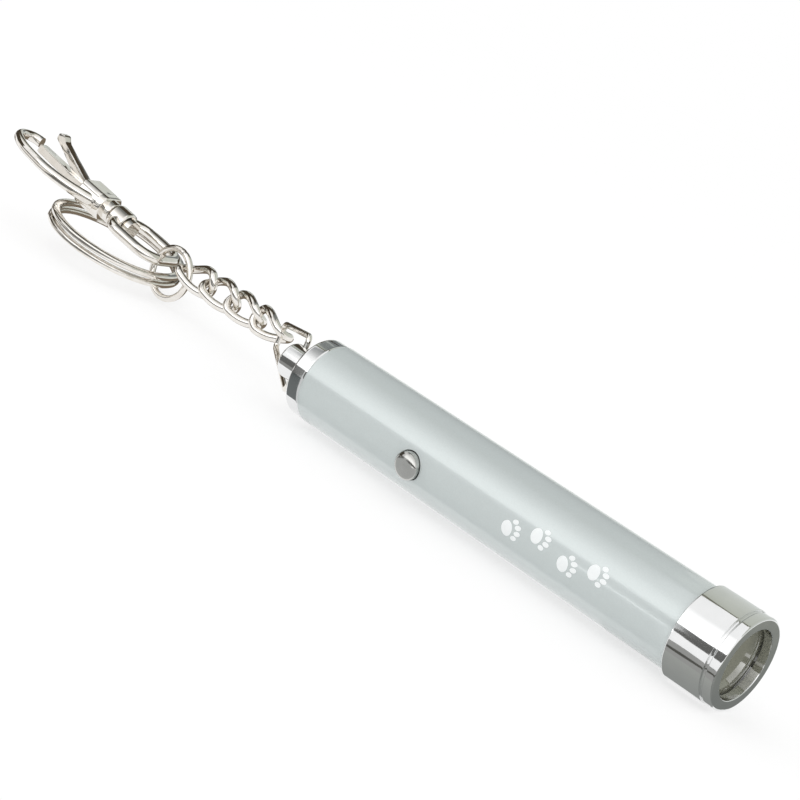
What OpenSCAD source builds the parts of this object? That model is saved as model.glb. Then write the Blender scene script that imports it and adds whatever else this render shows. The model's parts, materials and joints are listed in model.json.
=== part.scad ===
// Pocket light pointer on a curb chain with a split ring and a snap hook.
// Millimetres. Origin at the centre of the front rim face, +X out along the
// beam, +Z up from the table the pointer lies on.

/* [Barrel] */

// Outside diameter of the barrel
barrel_d = 13; // [12.8:0.1:13.6]
// Wall of the barrel tube
barrel_wall = 0.5; // [0.4:0.05:0.5]
// Length of barrel that shows between head and tail cap
barrel_len = 71.6; // [70:0.5:84]

/* [Head] */

// Step of the head sleeve over the barrel
head_step = 0.6; // [0.6:0.05:1]
// Length of the head sleeve behind the groove
sleeve_len = 6.2; // [6:0.2:9]
// Width of the groove behind the rim
groove_w = 0.4; // [0.3:0.05:0.7]
// Length of the front rim
rim_len = 1.6; // [1.5:0.1:2.2]
// Rounding of the rim edges
rim_round = 0.35; // [0.2:0.05:0.5]
// Diameter of the front opening
bore_d = 10.6; // [9.5:0.1:11]
// Thickness of the window
lens_t = 1.2; // [1:0.1:1.4]

/* [Button] */

// Distance of the button from the tail end of the barrel
button_from_tail = 23.5; // [23.5:0.5:26]
// Turn of the button round the barrel, from straight up
button_turn = 104; // [90:1:120]
// Diameter of the button
button_d = 4.2; // [3.8:0.1:4.4]
// Height of the button above the barrel
button_rise = 1.5; // [1.3:0.1:1.8]

/* [Tail] */

// Length of the tail cap flange
flange_len = 2.9; // [2.6:0.1:4]
// Diameter of the neck behind the flange
neck_d = 5.7; // [5.2:0.1:6.4]
// Length of the neck
neck_len = 6; // [5.8:0.1:7]

/* [Chain] */

// Wire of the bail
bail_wire = 0.95; // [0.8:0.05:1]
// Distance from the bail pin to its far end
bail_len = 15.5; // [14:0.5:18]
// Swing of the bail away from the barrel axis
bail_swing = 35; // [20:1:40]
// Wire of the chain links
link_wire = 1.4; // [1.3:0.05:1.5]
// Length of a chain link along its wire centre
link_len = 7.8; // [7.6:0.1:8.6]
// Width of a chain link across its wire centres
link_w = 4.2; // [4.1:0.1:4.6]
// Height of the chain above the barrel axis
chain_rise = 0.4; // [0:0.1:0.6]

/* [Key ring] */

// Outside diameter of the split ring
ring_d = 25; // [22:0.5:30]
// Tilt of the split ring, far side up
ring_tilt = 9; // [7:0.5:9]
// Turn of the split ring on the table
ring_yaw = 8; // [0:1:10]
// Tilt of the snap hook, far end up
hook_tilt = 10; // [10:0.5:12]
// Turn of the snap hook on the table
hook_yaw = 9; // [0:1:10]
// Length of the hook behind the swivel
hook_len = 25.6; // [24:0.5:30]

/* [Hidden] */

$fn = 64;

// Barrel and head, all radii and stations along X
barrel_r = barrel_d / 2;
bore_r = barrel_r - barrel_wall;
head_r = barrel_r + head_step;
sleeve_rear = -(rim_len + groove_w + sleeve_len);
tail_x = sleeve_rear - barrel_len;
lip_len = 1.4;
seal_t = 0.6;
lens_r = bore_r + 0.1;
seal_r = lens_r - 0.8;
lens_x = -lip_len;
seal_x = lens_x - lens_t;
barrel_front = seal_x - seal_t;

// Lamp
tube_len = 27;
holder_len = 6;
lamp_r = 2.5;
lamp_flange_r = 2.9;
tube_rear = barrel_front - tube_len;
holder_rear = tube_rear - holder_len;
lead_d = 0.5;

// Board and button; the local +Z of this frame runs out through the button
button_x = tail_x + button_from_tail;
board_t = 1.2;
board_w = 2 * bore_r - 1.4;
board_front = holder_rear - 4;
board_rear = button_x - 3.2;
switch_w = 6;
switch_h = 1.8;
switch_top = board_t / 2 + switch_h;
stem_d = 2;
stem_top = switch_top + 1.05;
press_gap = 0.1;
collar_d = button_d + 1;
collar_t = 0.7;
collar_top = sqrt(pow(bore_r, 2) - pow(collar_d / 2, 2)) - 0.1;
button_top = barrel_r + button_rise;
button_dome = 0.7;
button_hole_d = button_d + 0.18;

// Cells
cell_d = 2 * bore_r - 0.4;
cell_len = 5.4;
contact_t = 0.5;
contact_r = bore_r - 2.4;
contact_x = board_rear - 0.1;
cell_front = contact_x - contact_t;
cell_rear = cell_front - 3 * cell_len;

// Tail cap
flange_r = barrel_r - 0.1;
flange_chamfer = 0.45;
plug_r = bore_r - 0.08;
plug_len = 2.8;
plug_front = tail_x + plug_len;
spring_pocket_r = bore_r - 1.7;
neck_face = tail_x - flange_len;
pocket_floor = neck_face + 1;
neck_end = neck_face - neck_len;
bail_x = neck_end + 1.7;
bail_hole_d = bail_wire + 0.18;
spring_wire = 0.6;
spring_r = spring_pocket_r - 0.7;

// Bail, in its own plane: first along its length, then along its pin
bail_half = 4.7;
bail_tip_half = 2;
bail_bend = 0.9;
// Overlap of a straight wire into the bend beside it, and the extra width of the bend that seats it
wire_lap = 0.05;
bend_extra = 0.01;

// Chain
link_gap = 0.2;
link_pitch = link_len - link_wire - link_gap;
hook_gap = 0.13;
chain_y = bail_len * sin(bail_swing);
tip_x = bail_x - bail_len * cos(bail_swing);
link4_x = tip_x - link_len / 2 + (link_wire + bail_wire) / 2 + hook_gap;
link_turn_step = 22;
link_turn_first = 52.5;
link_twist = 105;
function link_x(i) = link4_x - (4 - i) * link_pitch;
function link_turn(i) = link_turn_first + (i - 1) * link_turn_step;

// Jump ring, hanging in the left end of the first link
jump_wire = 1.15;
jump_r = 4.3;
jump_drop = 2;
jump_reach = jump_r - (jump_wire + link_wire) / 2 - hook_gap;
jump_x = link_x(1) - link_len / 2 - sqrt(pow(jump_reach, 2) - pow(jump_drop, 2));
jump_z = chain_rise - jump_drop;

// Split ring and snap hook hang inside the left side of the jump ring, at a distance and an angle from its centre
ring_wire_h = 1;
ring_wire_w = 1.5;
ring_pitch = 1.45;
ring_r = (ring_d - ring_wire_w) / 2;
ring_level = -0.27;
ring_hang = jump_r - jump_wire / 2 - 1.475;
ring_hang_turn = 238;
eye_wire = 1.9;
eye_hang = jump_r - (jump_wire + eye_wire) / 2 - 0.175;
eye_hang_turn = 150;
eye_half = 4.6;
eye_len = 11.5;
eye_bend = 3.4;
hub_d = 4.6;
hub_front = 10;
hub_rear = 13.2;
post_d = 2;
post_head_d = 3.4;
hook_x = hub_rear + 0.3;
hook_end = hook_x + hook_len;
hook_wire = 2.2;
hook_bulge = 5.6;
hook_bend = 1.7;
nose_x = hook_end - 3;
nose_y = -2.2;
base_t = 4.4;
base_r = 2.9;
base_len = 5.8;
collar_len = 1.6;
collar_r = 2;
slot_t = 2.8;
slot_x = hook_x + 3.1;
slot_len = 8;
slot_depth = 9;
slot_y = -8;
seat_len = 2.6;
lever_t = 1.4;
lever_r = 1.4;
lever_half = 0.9;
tab_half = 0.8;
tab_y = -2;
tab_x = hook_x + 8.9;
tab_len = 10.5;
tab_rise = 4.4;
rivet_d = 1.2;
rivet_pos = [hook_x + 4.6, -1.2];

// Thin wire coil, wound along Z from z = 0
module coil(radius, wire, pitch, turns, sides, steps) {
    count = round(steps * turns);
    points = [for (i = [0:count], k = [0:sides - 1])
        let (a = 360 * turns * i / count, s = 360 * k / sides)
        [(radius + wire / 2 * cos(s)) * cos(a), (radius + wire / 2 * cos(s)) * sin(a),
            pitch * turns * i / count + wire / 2 * sin(s)]];
    polyhedron(points, concat(
        [[for (k = [0:sides - 1]) k]],
        [[for (k = [sides - 1:-1:0]) count * sides + k]],
        [for (i = [0:count - 1], k = [0:sides - 1])
            let (n = (k + 1) % sides)
            [i * sides + k, (i + 1) * sides + k, (i + 1) * sides + n, i * sides + n]]), convexity = 6);
}

// Least gap of a two-turn wire to itself, measured on the points of its centre line
function self_gap(path, apart, wire) = min([for (i = [0:len(path) - 1 - apart], j = [i + apart:len(path) - 1])
    norm(path[i] - path[j])]) - wire;

// Solid of revolution about X from [station, radius] points
module turned(profile) {
    rotate([0, 90, 0]) rotate_extrude() polygon([for (p = profile) [p[1], p[0]]]);
}

// Cylinder along X between two stations
module rod_x(x0, x1, r) {
    translate([min(x0, x1), 0, 0]) rotate([0, 90, 0]) cylinder(h = abs(x1 - x0), r = r);
}

// Straight wire between two points of the XY plane
module wire_run(a, b, wire) {
    d = b - a;
    translate([a[0], a[1], 0]) rotate([0, 0, atan2(d[1], d[0])]) rotate([0, 90, 0])
        cylinder(h = norm(d), d = wire, $fn = 24);
}

function unit2(v) = v / norm(v);

// Round bend of a wire at point b of the path a, b, c
module wire_bend(a, b, c, bend, wire) {
    d0 = unit2(b - a);
    d1 = unit2(c - b);
    side = sign(d0[0] * d1[1] - d0[1] * d1[0]);
    turn = acos(d0 * d1);
    start = b - d0 * bend * tan(turn / 2);
    centre = start + side * bend * [-d0[1], d0[0]];
    spoke = start - centre;
    heading = atan2(spoke[1], spoke[0]);
    translate([centre[0], centre[1], 0]) rotate([0, 0, side > 0 ? heading : heading - turn])
        rotate_extrude(angle = turn, $fn = 48) translate([bend, 0]) circle(d = wire + bend_extra, $fn = 24);
}

function bend_cut(a, b, c, bend) = bend * tan(acos(unit2(b - a) * unit2(c - b)) / 2);

// Wire bent along a path of the XY plane, open or closed
module wire_path(path, bend, wire, closed) {
    n = len(path);
    function at(i) = path[(i + n) % n];
    function cut(i) = !closed && (i == 0 || i == n - 1) ? 0 : bend_cut(at(i - 1), at(i), at(i + 1), bend) - wire_lap;
    for (i = closed ? [0:n - 1] : [1:n - 2]) wire_bend(at(i - 1), at(i), at(i + 1), bend, wire);
    for (i = closed ? [0:n - 1] : [0:n - 2]) {
        d = unit2(at(i + 1) - at(i));
        wire_run(at(i) + d * cut(i), at(i + 1) - d * cut((i + 1) % n), wire);
    }
}

// Frame of the switch and the button
module button_frame() {
    translate([button_x, 0, 0]) rotate([button_turn, 0, 0]) children();
}

// Frame of the board and its parts, stations along X as elsewhere
module board_frame() {
    rotate([button_turn, 0, 0]) children();
}

// Frame of what hangs in the jump ring, at a distance and an angle from its centre
module key_frame(hang, hang_turn, tilt, yaw) {
    translate([jump_x + hang * cos(hang_turn), chain_y, jump_z + hang * sin(hang_turn)])
        rotate([0, tilt, 0]) rotate([0, 0, yaw]) children();
}

// Frame of the snap hook: +X runs from the eye to the hook end
module clasp_frame() {
    key_frame(eye_hang, eye_hang_turn, hook_tilt, hook_yaw) rotate([0, 0, 180]) children();
}

module barrel() {
    color([0.74, 0.78, 0.78]) difference() {
        rod_x(tail_x, barrel_front, barrel_r);
        rod_x(tail_x - 1, barrel_front + 1, bore_r);
        button_frame() cylinder(h = barrel_d, d = button_hole_d);
    }
}

module head_bezel() {
    rim_r = head_r - 0.1;
    k = rim_round;
    color([0.85, 0.85, 0.86]) turned([
        [sleeve_rear, barrel_r], [sleeve_rear, head_r - 0.1], [sleeve_rear + 0.1, head_r],
        [-rim_len - groove_w, head_r], [-rim_len - groove_w, head_r - 0.35], [-rim_len, head_r - 0.35],
        [-rim_len, rim_r - k], [-rim_len + k * 0.3, rim_r - k * 0.3], [-rim_len + k, rim_r],
        [-k, rim_r], [-k * 0.3, rim_r - k * 0.3], [0, rim_r - k],
        [0, bore_d / 2], [lens_x, bore_d / 2], [lens_x, lens_r],
        [barrel_front, lens_r], [barrel_front, barrel_r]]);
}

module front_lens() {
    color([0.75, 0.76, 0.7, 0.6]) rod_x(seal_x, lens_x, lens_r);
}

module lens_seal() {
    color([0.1, 0.1, 0.1]) difference() {
        rod_x(barrel_front, seal_x, lens_r);
        rod_x(barrel_front - 1, seal_x + 1, seal_r);
    }
}

module lens_tube() {
    color([0.12, 0.12, 0.12]) difference() {
        rod_x(tube_rear, barrel_front, bore_r);
        rod_x(tube_rear - 1, barrel_front + 1, bore_r - 0.8);
    }
}

module led_holder() {
    color([0.2, 0.2, 0.2]) difference() {
        rod_x(holder_rear, tube_rear, bore_r);
        rod_x(holder_rear - 1, tube_rear + 1, lamp_r);
        rod_x(holder_rear - 1, holder_rear + 1, lamp_flange_r);
    }
}

module led_lamp() {
    color([0.9, 0.9, 0.85]) union() {
        rod_x(holder_rear, holder_rear + 1, lamp_flange_r);
        rod_x(holder_rear, holder_rear + 6.2, lamp_r);
        translate([holder_rear + 6.2, 0, 0]) sphere(r = lamp_r);
    }
}

module led_lead(side) {
    z = side * (board_t / 2 + lead_d / 2);
    color([0.8, 0.78, 0.7]) board_frame() translate([0, 0, z])
        rod_x(board_front - 2.4, holder_rear, lead_d / 2, $fn = 16);
}

module led_lead_1() {
    led_lead(1);
}

module led_lead_2() {
    led_lead(-1);
}

module circuit_board() {
    color([0.12, 0.4, 0.2]) board_frame()
        translate([board_rear, -board_w / 2, -board_t / 2])
            cube([board_front - board_rear, board_w, board_t]);
}

module board_carrier() {
    length = board_front - board_rear;
    color([0.9, 0.9, 0.88]) board_frame() difference() {
        rod_x(board_rear, board_front, bore_r);
        rod_x(board_rear - 1, board_front - 1.2, bore_r - 1.4);
        translate([board_rear - 1, -barrel_r, -board_t / 2]) cube([length + 2, barrel_d, barrel_d]);
        translate([board_front - 3, -1, -board_t / 2 - 1]) cube([4, 2, 2]);
    }
}

module tact_switch() {
    color([0.25, 0.25, 0.27]) button_frame() difference() {
        translate([-switch_w / 2, -switch_w / 2, board_t / 2]) cube([switch_w, switch_w, switch_h]);
        translate([0, 0, board_t / 2 + 0.3]) cylinder(h = switch_h, d = stem_d + 0.16, $fn = 32);
    }
}

module switch_stem() {
    color([0.85, 0.8, 0.7]) button_frame() translate([0, 0, board_t / 2 + 1])
        cylinder(h = stem_top - board_t / 2 - 1, d = stem_d, $fn = 32);
}

module push_button() {
    r = button_d / 2;
    foot = stem_top + press_gap;
    color([0.85, 0.85, 0.86]) button_frame() rotate_extrude() polygon([
        [0, foot], [1.2, foot], [1.2, collar_top - collar_t], [collar_d / 2, collar_top - collar_t],
        [collar_d / 2, collar_top], [r, collar_top], [r, button_top - button_dome],
        [r * 0.93, button_top - button_dome * 0.62], [r * 0.76, button_top - button_dome * 0.3],
        [r * 0.42, button_top - button_dome * 0.08], [0, button_top]]);
}

module board_contact() {
    color([0.8, 0.7, 0.45]) union() {
        rod_x(cell_front, contact_x, contact_r);
        board_frame() translate([contact_x - 0.1, -1.2, -board_t / 2 - 0.8]) cube([1.2, 2.4, 0.8]);
    }
}

// Button cell i, counted from the tail
module cell(i) {
    x0 = cell_rear + (i - 1) * cell_len;
    r = cell_d / 2;
    color([0.78, 0.78, 0.76]) turned([
        [x0, 0], [x0, r - 1], [x0 + 0.35, r - 0.9], [x0 + 0.35, r - 0.3], [x0 + 0.6, r],
        [x0 + cell_len - 0.3, r], [x0 + cell_len, r - 0.3], [x0 + cell_len, 0]]);
}

module cell_1() {
    cell(1);
}

module cell_2() {
    cell(2);
}

module cell_3() {
    cell(3);
}

module cell_sleeve() {
    color([0.85, 0.85, 0.8]) difference() {
        rod_x(cell_rear, cell_front, bore_r);
        rod_x(cell_rear - 1, cell_front + 1, cell_d / 2);
    }
}

module tail_spring() {
    turns = 3.5;
    rise = cell_rear - pocket_floor - spring_wire;
    color([0.7, 0.7, 0.68]) translate([pocket_floor + spring_wire / 2, 0, 0]) rotate([0, 90, 0])
        coil(spring_r, spring_wire, rise / turns, turns, 8, 24);
}

module tail_cap() {
    c = flange_chamfer;
    n = neck_d / 2;
    color([0.85, 0.85, 0.86]) difference() {
        turned([
            [neck_end, 0], [neck_end, n - 0.4], [neck_end + 0.4, n], [neck_face, n],
            [neck_face, flange_r - c], [neck_face + c, flange_r], [tail_x - c, flange_r],
            [tail_x, flange_r - c], [tail_x, plug_r], [plug_front - 0.3, plug_r],
            [plug_front, plug_r - 0.3], [plug_front, spring_pocket_r], [pocket_floor, spring_pocket_r],
            [pocket_floor, 0]]);
        translate([bail_x, 0, -neck_d]) cylinder(h = 2 * neck_d, d = bail_hole_d, $fn = 32);
    }
}

module bail() {
    color([0.82, 0.8, 0.76]) translate([bail_x, 0, 0]) rotate([0, 0, 180 - bail_swing]) rotate([90, 0, 0])
        wire_path([[0, -bail_half], [bail_len, -bail_tip_half], [bail_len, bail_tip_half], [0, bail_half]],
            bail_bend, bail_wire, true);
}

// Twisted curb link lying along X, counted from the jump ring
module chain_link(i) {
    steps = 48;
    sides = 10;
    straight = link_len - link_w;
    round_r = link_w / 2;
    // Point of the flat oval at angle a, straight sides taken up near 90 and 270
    function flat(a) = [round_r * cos(a) + straight / 2 * sign(cos(a)) * min(1, abs(cos(a)) * 2.2), round_r * sin(a)];
    function bent(a) = let (p = flat(a), t = link_turn(i) + link_twist * p[0] / link_len)
        [p[0], p[1] * cos(t), p[1] * sin(t)];
    function ring(a) = let (
            ahead = bent(a + 3) - bent(a - 3), d = ahead / norm(ahead), p = bent(a),
            out = p - (p * d) * d, u = out / norm(out), v = cross(d, u))
        [for (k = [0:sides - 1]) p + link_wire / 2 * (cos(360 * k / sides) * u + sin(360 * k / sides) * v)];
    points = [for (s = [0:steps - 1]) each ring(360 * s / steps)];
    faces = [for (s = [0:steps - 1], k = [0:sides - 1])
        let (m = (s + 1) % steps, n = (k + 1) % sides)
        [s * sides + k, s * sides + n, m * sides + n, m * sides + k]];
    color([0.82, 0.8, 0.76]) translate([link_x(i), chain_y, chain_rise]) polyhedron(points, faces, convexity = 8);
}

module chain_link_1() {
    chain_link(1);
}

module chain_link_2() {
    chain_link(2);
}

module chain_link_3() {
    chain_link(3);
}

module chain_link_4() {
    chain_link(4);
}

module jump_ring() {
    color([0.82, 0.8, 0.76]) translate([jump_x, chain_y, jump_z]) rotate([90, 0, 0])
        rotate_extrude() translate([jump_r, 0]) circle(d = jump_wire, $fn = 32);
}

module split_ring() {
    steps = 56;
    turns = 1.97;
    count = round(steps * turns);
    w = ring_wire_w / 2;
    h = ring_wire_h / 2;
    section = [[w, -h * 0.5], [w, h * 0.5], [w * 0.6, h], [-w * 0.6, h], [-w, h * 0.5], [-w, -h * 0.5],
        [-w * 0.6, -h], [w * 0.6, -h]];
    sides = len(section);
    points = [for (s = [0:count], p = section)
        let (a = 360 * turns * s / count + 120)
        [(ring_r + p[0]) * cos(a), (ring_r + p[0]) * sin(a), ring_pitch * (turns * s / count - turns / 2) + p[1]]];
    centre = [for (s = [0:count]) let (a = 360 * turns * s / count)
        [ring_r * cos(a), ring_r * sin(a), ring_pitch * turns * s / count]];
    echo(split_ring_least_gap = self_gap(centre, round(steps * 0.7), ring_wire_h));
    color([0.82, 0.8, 0.76]) key_frame(ring_hang, ring_hang_turn, ring_tilt, ring_yaw) translate([-ring_r, 0, ring_level])
        polyhedron(points, concat(
            [[for (k = [0:sides - 1]) k]],
            [[for (k = [sides - 1:-1:0]) count * sides + k]],
            [for (s = [0:count - 1], k = [0:sides - 1])
                let (n = (k + 1) % sides)
                [s * sides + k, (s + 1) * sides + k, (s + 1) * sides + n, s * sides + n]]), convexity = 6);
}

module clasp_eye() {
    color([0.83, 0.81, 0.77]) clasp_frame() difference() {
        union() {
            wire_path([[0, -eye_half], [eye_len, -eye_half], [eye_len, eye_half], [0, eye_half]],
                eye_bend, eye_wire, true);
            rod_x(hub_front, hub_rear, hub_d / 2);
        }
        rod_x(hub_front - 1, hub_rear + 1, post_d / 2 + 0.08);
    }
}

module clasp_post() {
    color([0.8, 0.78, 0.74]) clasp_frame() union() {
        rod_x(hub_front - 1.3, hook_x + seat_len, post_d / 2);
        rod_x(hub_front - 1.3, hub_front - 0.3, post_head_d / 2);
    }
}

module clasp_hook() {
    // Claw: out from the base, round the bulge, over the tip and back to the nose
    path = [[hook_x + 3, hook_bulge * 0.22], [hook_x + 7.1, hook_bulge * 0.77], [hook_x + hook_len * 0.5, hook_bulge],
        [hook_end - 5.1, hook_bulge * 0.8], [hook_end - hook_wire / 2, hook_bulge * 0.27],
        [hook_end - hook_wire / 2, nose_y + 0.3], [nose_x, nose_y]];
    color([0.83, 0.81, 0.77]) clasp_frame() difference() {
        union() {
            wire_path(path, hook_bend, hook_wire, false);
            rod_x(hook_x, hook_x + collar_len, collar_r);
            intersection() {
                rod_x(hook_x + collar_len - 0.1, hook_x + collar_len + base_len, base_r);
                translate([hook_x, -base_r, -base_t / 2]) cube([hook_len, 2 * base_r, base_t]);
            }
        }
        rod_x(hook_x - 1, hook_x + seat_len, post_d / 2);
        translate([slot_x, slot_y, -slot_t / 2]) cube([slot_len, slot_depth, slot_t]);
        translate([rivet_pos[0], rivet_pos[1], -base_t]) cylinder(h = 2 * base_t, d = rivet_d, $fn = 32);
    }
}

module clasp_rivet() {
    color([0.75, 0.73, 0.7]) clasp_frame() translate([rivet_pos[0], rivet_pos[1], -base_t / 2])
        cylinder(h = base_t, d = rivet_d, $fn = 32);
}

// Straight gate from the rivet to the nose, with a thumb tab that rises off its top
module clasp_lever() {
    far = nose_x - 0.7;
    px = rivet_pos[0];
    py = rivet_pos[1];
    foot = -0.5;
    color([0.83, 0.81, 0.77]) clasp_frame() difference() {
        union() {
            translate([0, 0, -slot_t / 2 + 0.1]) linear_extrude(height = lever_t) union() {
                translate([px, py]) circle(r = lever_r, $fn = 32);
                polygon([[px, py + lever_r], [px, py - lever_r], [far, nose_y - lever_half], [far, nose_y + lever_half]]);
            }
            translate([tab_x, tab_y + tab_half, 0]) rotate([90, 0, 0]) linear_extrude(height = 2 * tab_half) polygon([
                [0, foot], [tab_len * 0.27, foot], [tab_len * 0.84, tab_rise * 0.54], [tab_len, tab_rise * 0.68],
                [tab_len, tab_rise * 0.93], [tab_len * 0.88, tab_rise], [tab_len * 0.8, tab_rise * 0.78],
                [tab_len * 0.06, tab_rise * 0.16]]);
        }
        translate([px, py, -base_t]) cylinder(h = 2 * base_t, d = rivet_d + 0.16, $fn = 32);
    }
}

module clasp_spring() {
    wire = 0.25;
    turns = 1.5;
    pitch = 0.67;
    color([0.6, 0.6, 0.58]) clasp_frame()
        translate([rivet_pos[0], rivet_pos[1], slot_t / 2 - wire / 2 - pitch * turns]) coil(1.02, wire, pitch, turns, 8, 20);
}

barrel();
head_bezel();
front_lens();
lens_seal();
lens_tube();
led_holder();
led_lamp();
led_lead_1();
led_lead_2();
circuit_board();
board_carrier();
tact_switch();
switch_stem();
push_button();
board_contact();
cell_1();
cell_2();
cell_3();
cell_sleeve();
tail_spring();
tail_cap();
bail();
chain_link_4();
chain_link_3();
chain_link_2();
chain_link_1();
jump_ring();
split_ring();
clasp_eye();
clasp_post();
clasp_hook();
clasp_rivet();
clasp_lever();
clasp_spring();
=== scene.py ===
"""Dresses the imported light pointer: smooth shells, wires and finishes over the CAD frame.

Sizes repeat the part's source, in millimetres, and are turned into metres when a mesh is
made. The origin is the centre of the front rim, +X runs out along the beam and +Z is up.
"""

from __future__ import annotations

import json
import logging
import math
from dataclasses import dataclass, field
from enum import Enum

import bmesh
import bpy
import numpy as np
from mathutils import Matrix, Vector

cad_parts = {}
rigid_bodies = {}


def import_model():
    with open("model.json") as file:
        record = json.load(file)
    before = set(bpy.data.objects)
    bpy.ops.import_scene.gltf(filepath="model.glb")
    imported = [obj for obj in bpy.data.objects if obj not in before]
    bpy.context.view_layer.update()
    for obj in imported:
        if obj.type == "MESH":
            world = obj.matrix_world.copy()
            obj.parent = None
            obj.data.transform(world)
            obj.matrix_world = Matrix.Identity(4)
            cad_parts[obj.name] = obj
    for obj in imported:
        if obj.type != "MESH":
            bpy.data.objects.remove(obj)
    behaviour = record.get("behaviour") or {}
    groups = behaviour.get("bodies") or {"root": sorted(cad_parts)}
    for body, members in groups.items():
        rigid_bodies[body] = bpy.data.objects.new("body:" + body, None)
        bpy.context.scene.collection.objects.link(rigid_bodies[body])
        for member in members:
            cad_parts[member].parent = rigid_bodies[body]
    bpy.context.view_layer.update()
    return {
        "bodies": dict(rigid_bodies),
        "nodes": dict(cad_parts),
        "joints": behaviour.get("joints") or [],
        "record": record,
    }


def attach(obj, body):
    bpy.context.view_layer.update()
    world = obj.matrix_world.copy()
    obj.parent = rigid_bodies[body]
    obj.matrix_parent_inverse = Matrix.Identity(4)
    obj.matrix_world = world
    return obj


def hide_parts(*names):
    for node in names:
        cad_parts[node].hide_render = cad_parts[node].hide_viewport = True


LOG = logging.getLogger("pointer")
MM = 0.001
# Distances in metres under which points are merged and edges dissolved, and the angle of a sharp edge
MERGE, SLIVER, SHARP = 1e-7, 1e-8, math.radians(38.0)
# Polish noise: its scale along each axis, how much finer the bump is, and the range that is used of it
DRAWN, FINE_RATIO, SPREAD = (0.2, 1.0, 1.0), 9.0, (0.2, 0.8)
COAT_ROUGHNESS, BUMP_STRENGTH = 0.05, 0.4
Pair = tuple[float, float]
Triple = tuple[float, float, float]


class Slot(Enum):
    """Material slots of the record that the finishes stand for."""

    PAINT = "paint"
    CHROME = "chrome"
    NICKEL = "nickel"
    LENS = "lens"
    SEAL = "seal"
    BLACK = "black"
    LAMP = "lamp"
    LEAD = "lead"
    BOARD = "board"
    CARRIER = "carrier"
    SWITCH = "switch"
    BRASS = "brass"
    CELL = "cell"
    STEEL = "steel"


# Shapes as arrays


def rounded(points: np.ndarray, radii: np.ndarray, closed: bool, steps: int) -> np.ndarray:
    """Rounds the corners of a polyline.

    Each corner is replaced by the arc of its radius that touches both legs: the arc's centre
    lies on the inner bisector, and its points run evenly in angle from leg to leg.

    Args:
        points: Corner points, shape (n, 2).
        radii: Radius of each corner, shape (n,); zero keeps the corner sharp.
        closed: Whether the last corner joins the first.
        steps: Points on each arc.

    Returns:
        The rounded polyline, shape (k, 2), without repeated points.
    """
    p = np.asarray(points, float)
    r = np.asarray(radii, float).copy()
    before, after = np.roll(p, 1, 0), np.roll(p, -1, 0)
    if not closed:
        r[[0, -1]] = 0.0
        before[0], after[-1] = 2 * p[0] - p[1], 2 * p[-1] - p[-2]
    d0 = (p - before) / np.linalg.norm(p - before, axis=1, keepdims=True)
    d1 = (after - p) / np.linalg.norm(after - p, axis=1, keepdims=True)
    cross = d0[:, 0] * d1[:, 1] - d0[:, 1] * d1[:, 0]
    turn = np.arctan2(cross, np.sum(d0 * d1, axis=1))
    side = np.where(turn >= 0, 1.0, -1.0)
    cut = r * np.tan(np.abs(turn) / 2)
    start = p - d0 * cut[:, None]
    centre = start + (side * r)[:, None] * np.stack([-d0[:, 1], d0[:, 0]], 1)
    spoke = start - centre
    a = turn[:, None] * np.linspace(0, 1, steps)[None, :]
    arc = np.stack([spoke[:, :1] * np.cos(a) - spoke[:, 1:] * np.sin(a),
                    spoke[:, :1] * np.sin(a) + spoke[:, 1:] * np.cos(a)], 2) + centre[:, None, :]
    line = arc.reshape(-1, 2)
    keep = np.ones(len(line), bool)
    keep[1:] = np.linalg.norm(np.diff(line, axis=0), axis=1) > 1e-6
    return line[keep]


def evenly(path: np.ndarray, count: int, closed: bool) -> np.ndarray:
    """Resamples a path at even steps of its length.

    Args:
        path: Points of the path, shape (n, d).
        count: Number of points wanted.
        closed: Whether the path returns to its first point.

    Returns:
        The resampled path, shape (count, d).
    """
    line = np.vstack([path, path[:1]]) if closed else path
    reach = np.concatenate([[0], np.cumsum(np.linalg.norm(np.diff(line, axis=0), axis=1))])
    at = np.linspace(0, reach[-1], count + 1)[:-1] if closed else np.linspace(0, reach[-1], count)
    return np.stack([np.interp(at, reach, line[:, k]) for k in range(line.shape[1])], 1)


def headings(path: np.ndarray, closed: bool) -> np.ndarray:
    """Unit directions of a path from the points on either side of each point.

    Args:
        path: Points, shape (n, d).
        closed: Whether the path is a loop.

    Returns:
        Unit tangents, shape (n, d).
    """
    ahead, behind = np.roll(path, -1, 0), np.roll(path, 1, 0)
    if not closed:
        ahead[-1], behind[0] = path[-1], path[0]
    d = ahead - behind
    return d / np.linalg.norm(d, axis=1, keepdims=True)


def braced(line: np.ndarray, gap: float = 0.1) -> np.ndarray:
    """Adds a point near both ends of each long leg, so that smooth shading keeps the leg straight.

    Args:
        line: Points of a profile, shape (n, 2).
        gap: Distance of the added points from the leg's ends.

    Returns:
        The profile with the added points, shape (k, 2).
    """
    leg = np.diff(line, axis=0)
    length = np.linalg.norm(leg, axis=1, keepdims=True)
    long = np.flatnonzero(length[:, 0] > 4 * gap)
    step = gap * leg[long] / length[long]
    order = np.concatenate([np.arange(len(line)), long + 0.3, long + 0.6])
    return np.concatenate([line, line[long] + step, line[long + 1] - step])[np.argsort(order)]


def lathe(profile: np.ndarray, segments: int) -> np.ndarray:
    """Turns a profile about X: point (x, r) goes to (x, r cos t, r sin t).

    Args:
        profile: Stations and radii, shape (n, 2).
        segments: Points round the axis.

    Returns:
        Grid of shape (k, segments, 3), one row to a point of the braced profile.
    """
    line = braced(profile)
    t = np.linspace(0, 2 * np.pi, segments, endpoint=False)
    x = np.repeat(line[:, :1], segments, axis=1)
    return np.stack([x, line[:, 1:] * np.cos(t), line[:, 1:] * np.sin(t)], 2)


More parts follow.
